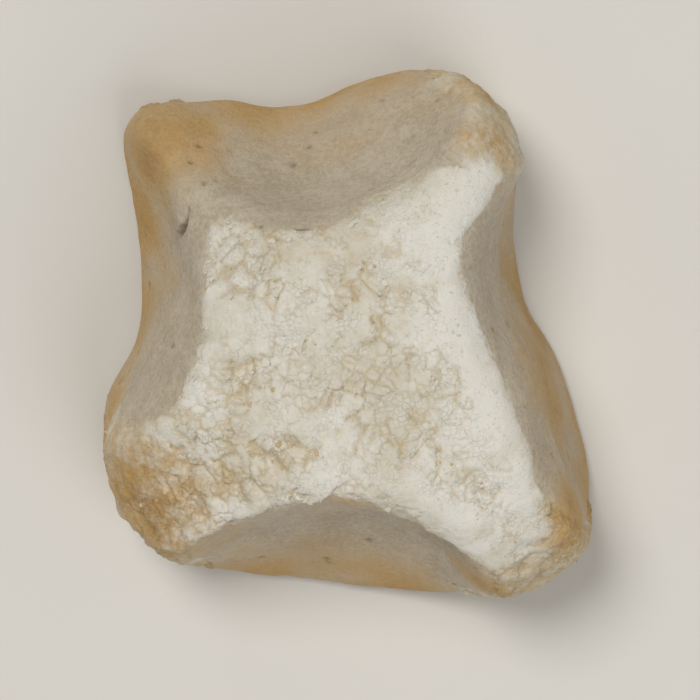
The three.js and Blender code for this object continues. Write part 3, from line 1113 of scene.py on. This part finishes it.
def strew(piece_name, seats, share, count, seed, splits, radii, stretch, lumps, sink, material):
    """Strews lumpy bits where share is high; stretch is a range and a flatness, sink is in radii."""
    points, normals = seats
    draw = np.random.default_rng(seed)
    chosen = drawn_seats(draw, share, count)
    ball, triangles = icosphere_form(splits)
    radius = drawn_radii(draw, count, *radii)
    low, high, flat = stretch
    sizes = radius[:, None] * draw.uniform(low, high, (count, 3)) * (1, 1, flat)
    forms = ball[None] * draw.uniform(*lumps, (count, len(ball), 1))
    frames = turned_frames(normals[chosen], draw)
    strewn, faces = joined(forms, triangles, points[chosen], frames, sizes, sink * radius)
    return new_piece(piece_name, strewn, faces, material)


def flake_form(sides):
    """A thin plate with the given number of sides: rim above, rim below and two middles."""
    turns = np.arange(sides) * 2 * math.pi / sides
    rim = np.stack([np.cos(turns), np.sin(turns)], axis=1)
    top = np.column_stack([rim, np.full(sides, 0.5)])
    bottom = np.column_stack([rim, np.full(sides, -0.5)])
    points = np.concatenate([top, bottom, [[0, 0, 0.75], [0, 0, -0.5]]])
    triangles = []
    for i in range(sides):
        j = (i + 1) % sides
        triangles += [(i, j, 2 * sides), (j + sides, i + sides, 2 * sides + 1)]
        triangles += [(i, i + sides, j), (j, i + sides, j + sides)]
    return points, np.array(triangles)


# ---------------------------------------------------------------- settings


def length_property(name, description, default, low=0):
    return bpy.props.FloatProperty(
        name=name, description=description, default=default, min=low, unit="LENGTH"
    )


def colour_property(name, description, default):
    return bpy.props.FloatVectorProperty(
        name=name, description=description, default=default, size=3, min=0, max=1, subtype="COLOR"
    )


def plain_property(name, description, default, low=0):
    return bpy.props.FloatProperty(name=name, description=description, default=default, min=low)


class BiscuitSizes(bpy.types.PropertyGroup):
    """Sizes of the sugar crust."""

    plate: length_property("Plate", "Size of the crust's larger plates", 0.0023, 0.0005)
    small_plate: length_property("Small Plate", "Size of the plates they break into", 0.0011, 0.0003)
    crack_width: length_property("Crack Width", "Half width of the larger cracks", 0.00026)
    crack_depth: length_property("Crack Depth", "How deep the cracks go", 0.0003)
    crust_thickness: length_property("Crust", "How far the crust stands above bare dough", 0.00016)


class BiscuitColours(bpy.types.PropertyGroup):
    """Colours of the sugar and the dough."""

    sugar: colour_property("Sugar", "Thick icing sugar", (0.815, 0.795, 0.73))
    cream: colour_property("Cream", "Thin icing sugar", (0.66, 0.605, 0.48))
    dough: colour_property("Dough", "Pale baked dough", (0.625, 0.482, 0.288))
    gold: colour_property("Gold", "Toasted dough", (0.525, 0.33, 0.12))
    brown: colour_property("Brown", "Dough browned at the base", (0.33, 0.19, 0.075))
    crack: colour_property("Crack", "Dough at the sides of a crack", (0.6, 0.475, 0.265))
    # Painted shade: the darker colour at the bottom of a crack stands in for the shade there
    deep: colour_property("Deep Crack", "Dough at the bottom of a crack", (0.42, 0.31, 0.16))
    hollow: colour_property("Hollow", "Sugar pressed into the dough", (0.45, 0.378, 0.275))
    hollow_light: colour_property("Hollow Light", "Paler places in the hollows", (0.55, 0.478, 0.375))
    # Painted shade: a dark colour laid into the pores, the pinholes and the torn gaps
    pore: colour_property("Pore", "Inside of the pores", (0.2, 0.145, 0.09))


class BiscuitStage(bpy.types.PropertyGroup):
    """The table, the camera and the light."""

    floor: colour_property("Table", "Colour of the table", (0.74, 0.72, 0.68))
    backdrop: colour_property("Backdrop", "Colour behind the table", (0.64, 0.614, 0.563))
    distance: length_property("Distance", "From the camera to the biscuit", 0.47, 0.1)
    lens: plain_property("Lens", "Focal length in millimetres", 265, 10)
    tilt: bpy.props.FloatProperty(
        name="Tilt", description="How far the camera leans back from straight above",
        default=math.radians(10), subtype="ANGLE",
    )
    key_power: plain_property("Key Light", "Strength of the light from behind the biscuit", 1.65)
    fill_power: plain_property("Fill Light", "Strength of the light from in front", 0.9)
    sky: plain_property("Room Light", "Strength of the even light all round", 0.24)


# ---------------------------------------------------------------- operators


def needed(name):
    """An object that an earlier operator has made."""
    found = bpy.data.objects.get(name)
    if found is None:
        raise RuntimeError(f"{name} has to be made first")
    return found


class BISCUIT_OT_shape_dough(bpy.types.Operator):
    """Shape the dough and its cracked sugar crust"""

    bl_idname = "biscuit.shape_dough"
    bl_label = "Shape Dough"

    def execute(self, context):
        sizes = context.scene.biscuit_sizes
        points, triangles = dough_mesh()
        outwards = slope_of(pressed_dough, points)
        outwards /= np.linalg.norm(outwards, axis=1, keepdims=True)
        made = crust_fields(points, outwards, sizes)
        shaped = points + outwards * relief_of(points, made, sizes)[:, None]
        low, high = (np.array(corner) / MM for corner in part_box(NODE))
        shaped = fitted(shaped, low, high)
        # Painted shade mask: how deep each point lies in a pore, a pinhole or a torn gap, for the
        # material to darken
        pits = np.where(made["edge"] < 0, pore_depths(points), made["pinhole"])
        made["pore"] = np.maximum(pits, 1.2 * gap_shares(points)[0])
        material = finish(sugared_biscuit, context.scene.biscuit_colours)
        piece = new_piece("biscuit_dough", shaped, triangles, material)
        for mask in MASKS:
            paint(piece, mask, made[mask])
        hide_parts(NODE)
        return {"FINISHED"}


class BISCUIT_OT_dust_sugar(bpy.types.Operator):
    """Scatter clumps of loose icing sugar over the biscuit"""

    bl_idname = "biscuit.dust_sugar"
    bl_label = "Dust Sugar"

    count: bpy.props.IntProperty(name="Clumps", description="How many clumps", default=2600, min=1)

    def execute(self, context):
        dough = needed("biscuit_dough")
        points, normals = seats_on(dough)
        edge, sugar, toast = masks_of(dough, "edge", "sugar", "toast")
        upward = ease(normals[:, 2], -0.1, 0.7)
        dusted = 0.004 + ease(edge, -0.1, 0.4) * ease(sugar, 0.2, 0.6)
        share = vertex_areas(dough) * upward * dusted
        share *= ease(points[:, 2], 2, 6) * (1 - ease(toast, 0.2, 0.5))
        strew(
            "loose_sugar", (points, normals), share, self.count, seed=4, splits=1,
            radii=(0.06, 0.5, 0.2), stretch=(0.6, 1.3, 0.6), lumps=(0.75, 1.2), sink=0.15,
            material=finish(icing_sugar, context.scene.biscuit_colours),
        )
        return {"FINISHED"}


class BISCUIT_OT_lift_flakes(bpy.types.Operator):
    """Lift thin flakes of crust along the cracks and round the crown's edge"""

    bl_idname = "biscuit.lift_flakes"
    bl_label = "Lift Flakes"

    count: bpy.props.IntProperty(name="Flakes", description="How many flakes", default=420, min=1)

    def execute(self, context):
        dough = needed("biscuit_dough")
        points, normals = seats_on(dough)
        edge, crackle, toast, sugar, wide = masks_of(dough, "edge", "crackle", "toast", "sugar", "wide")
        near_edge = np.exp(-(((edge - 0.45) / 0.35) ** 2)) * (0.04 + zone(points, FLAKY))
        beside_crack = np.exp(-(((wide - 0.3) / 0.12) ** 2)) * crackle
        upward = ease(normals[:, 2], 0.1, 0.7) * ease(edge, 0, 0.3) * ease(sugar, 0.15, 0.45)
        share = vertex_areas(dough) * upward * (2 * near_edge + 0.3 * beside_crack)
        share *= 1 - ease(toast, 0.1, 0.35)

        count, sides = self.count, FLAKE_SIDES
        draw = np.random.default_rng(9)
        chosen = drawn_seats(draw, share, count)
        plate, triangles = flake_form(sides)
        radius = drawn_radii(draw, count, 0.17, 0.4, 0.4)
        ragged = draw.uniform(0.6, 1.25, (count, sides))[..., None]
        forms = np.repeat(plate[None], count, axis=0)
        forms[:, :sides, :2] *= ragged
        forms[:, sides : 2 * sides, :2] *= ragged * 0.9
        narrower = draw.uniform(0.6, 1, count)
        thickness = draw.uniform(0.05, 0.1, count)
        sizes = np.column_stack([radius, radius * narrower, thickness])
        tilted = normals[chosen] + draw.normal(0, 0.16, (count, 3))
        tilted /= np.linalg.norm(tilted, axis=1, keepdims=True)
        frames = turned_frames(tilted, draw)
        sink = -0.02 - 0.1 * radius
        lifted, faces = joined(forms, triangles, points[chosen], frames, sizes, sink)
        material = finish(icing_sugar, context.scene.biscuit_colours)
        new_piece("sugar_flakes", lifted, faces, material, smooth=False)
        return {"FINISHED"}


class BISCUIT_OT_scatter_crumbs(bpy.types.Operator):
    """Set small toasted crumbs in the cracks and on the lobes and foot"""

    bl_idname = "biscuit.scatter_crumbs"
    bl_label = "Scatter Crumbs"

    count: bpy.props.IntProperty(name="Crumbs", description="How many crumbs", default=300, min=1)

    def execute(self, context):
        dough = needed("biscuit_dough")
        points, normals = seats_on(dough)
        edge, wide, toast = masks_of(dough, "edge", "wide", "toast")
        in_crack = np.exp(-((wide / 0.15) ** 2))
        share = vertex_areas(dough) * ease(edge, 0, 0.5) * (0.002 + in_crack + 0.03 * toast)
        share *= ease(points[:, 2], 0.8, 2.5)
        share *= ease(normals[:, 2], -0.6, 0.4)
        strew(
            "baked_crumbs", (points, normals), share, self.count, seed=16, splits=2,
            radii=(0.12, 0.4, 0.3), stretch=(0.65, 1.25, 1), lumps=(0.72, 1.15), sink=0.35,
            material=finish(toasted_crumb, context.scene.biscuit_colours),
        )
        return {"FINISHED"}


def far_light(name, strength, direction, spread, colour):
    """A wide soft light so far away that it lights the whole table alike."""
    light = bpy.data.lights.new(name, "SUN")
    light.energy = strength
    light.angle = spread
    light.color = colour
    lamp = bpy.data.objects.new(name, light)
    bpy.context.scene.collection.objects.link(lamp)
    lamp.location = direction
    lamp.rotation_euler = Vector(direction).to_track_quat("Z", "Y").to_euler()


def pale_room(strength, backdrop):
    """A world that lights evenly and looks like the table going on out of sight."""
    world = bpy.data.worlds.new("room")
    world.use_nodes = True
    tree = world.node_tree
    tree.nodes.clear()
    light = node(tree, "ShaderNodeBackground", Color=rgba(ROOM_COLOUR), Strength=strength)
    seen = node(tree, "ShaderNodeBackground", Color=rgba(backdrop), Strength=1.0)
    rays = tree.nodes.new("ShaderNodeLightPath")
    both = tree.nodes.new("ShaderNodeMixShader")
    sources = (rays.outputs["Is Camera Ray"], light.outputs[0], seen.outputs[0])
    for socket, source in zip(both.inputs, sources):
        tree.links.new(source, socket)
    node(tree, "ShaderNodeOutputWorld", Surface=both.outputs[0])
    return world


def lay_table(colour, height):
    """A round pale table top under the biscuit."""
    table = bmesh.new()
    bmesh.ops.create_circle(table, cap_ends=True, segments=TABLE_SIDES, radius=TABLE_RADIUS)
    mesh = bpy.data.meshes.new("table")
    table.to_mesh(mesh)
    table.free()
    mesh.materials.append(finish(pale_table, colour))
    floor = bpy.data.objects.new("table", mesh)
    floor.location.z = height - TABLE_GAP
    bpy.context.scene.collection.objects.link(floor)


def aim_camera(target, distance, tilt, lens):
    """A camera that looks down at the target, leaning back by the tilt."""
    camera = bpy.data.cameras.new("camera")
    camera.lens = lens
    camera.sensor_width = SENSOR_WIDTH
    camera.clip_start = CAMERA_NEAR
    camera.clip_end = CAMERA_FAR
    eye = bpy.data.objects.new("camera", camera)
    towards_eye = Vector((-CAMERA_LEFT, math.sin(tilt), math.cos(tilt))).normalized()
    right = Vector((0, 1, 0)).cross(towards_eye).normalized()
    up = towards_eye.cross(right)
    turned = Matrix((right, up, towards_eye)).transposed().to_4x4()
    eye.matrix_world = Matrix.Translation(target + towards_eye * distance) @ turned
    bpy.context.scene.collection.objects.link(eye)
    bpy.context.scene.camera = eye


class BISCUIT_OT_set_stage(bpy.types.Operator):
    """Set the pale table, the soft light and the camera that looks down on the biscuit"""

    bl_idname = "biscuit.set_stage"
    bl_label = "Set Stage"

    def execute(self, context):
        stage = context.scene.biscuit_stage
        low, high = CAD_BOUNDS
        lay_table(tuple(stage.floor), low.z)
        far_light("key_light", stage.key_power, KEY_FROM, KEY_SPREAD, KEY_COLOUR)
        far_light("fill_light", stage.fill_power, FILL_FROM, FILL_SPREAD, FILL_COLOUR)
        context.scene.world = pale_room(stage.sky, tuple(stage.backdrop))
        context.scene.view_settings.view_transform = "Standard"
        aim_camera((low + high) / 2, stage.distance, stage.tilt, stage.lens)
        return {"FINISHED"}


class BISCUIT_PT_panel(bpy.types.Panel):
    """Sizes, colours and steps of the biscuit"""

    bl_idname = "BISCUIT_PT_panel"
    bl_label = "Almond Biscuit"
    bl_space_type = "VIEW_3D"
    bl_region_type = "UI"
    bl_category = "Biscuit"

    def draw(self, context):
        for setting in SETTINGS:
            group = getattr(context.scene, setting)
            box = self.layout.box()
            for name in group.bl_rna.properties.keys():
                if name not in ("rna_type", "name"):
                    box.prop(group, name)
        for step in STEPS:
            self.layout.operator(step.bl_idname)


SETTINGS = {
    "biscuit_sizes": BiscuitSizes,
    "biscuit_colours": BiscuitColours,
    "biscuit_stage": BiscuitStage,
}
STEPS = (
    BISCUIT_OT_set_stage,
    BISCUIT_OT_shape_dough,
    BISCUIT_OT_dust_sugar,
    BISCUIT_OT_lift_flakes,
    BISCUIT_OT_scatter_crumbs,
)


def register():
    for made in (*SETTINGS.values(), *STEPS, BISCUIT_PT_panel):
        bpy.utils.register_class(made)
    for name, group in SETTINGS.items():
        setattr(bpy.types.Scene, name, bpy.props.PointerProperty(type=group))


def unregister():
    for name in SETTINGS:
        delattr(bpy.types.Scene, name)
    for made in (BISCUIT_PT_panel, *reversed(STEPS), *reversed(SETTINGS.values())):
        bpy.utils.unregister_class(made)


def main():
    register()
    bpy.ops.biscuit.set_stage()
    bpy.ops.biscuit.shape_dough()
    bpy.ops.biscuit.dust_sugar()
    bpy.ops.biscuit.lift_flakes()
    bpy.ops.biscuit.scatter_crumbs()


if __name__ == "__main__":
    main()
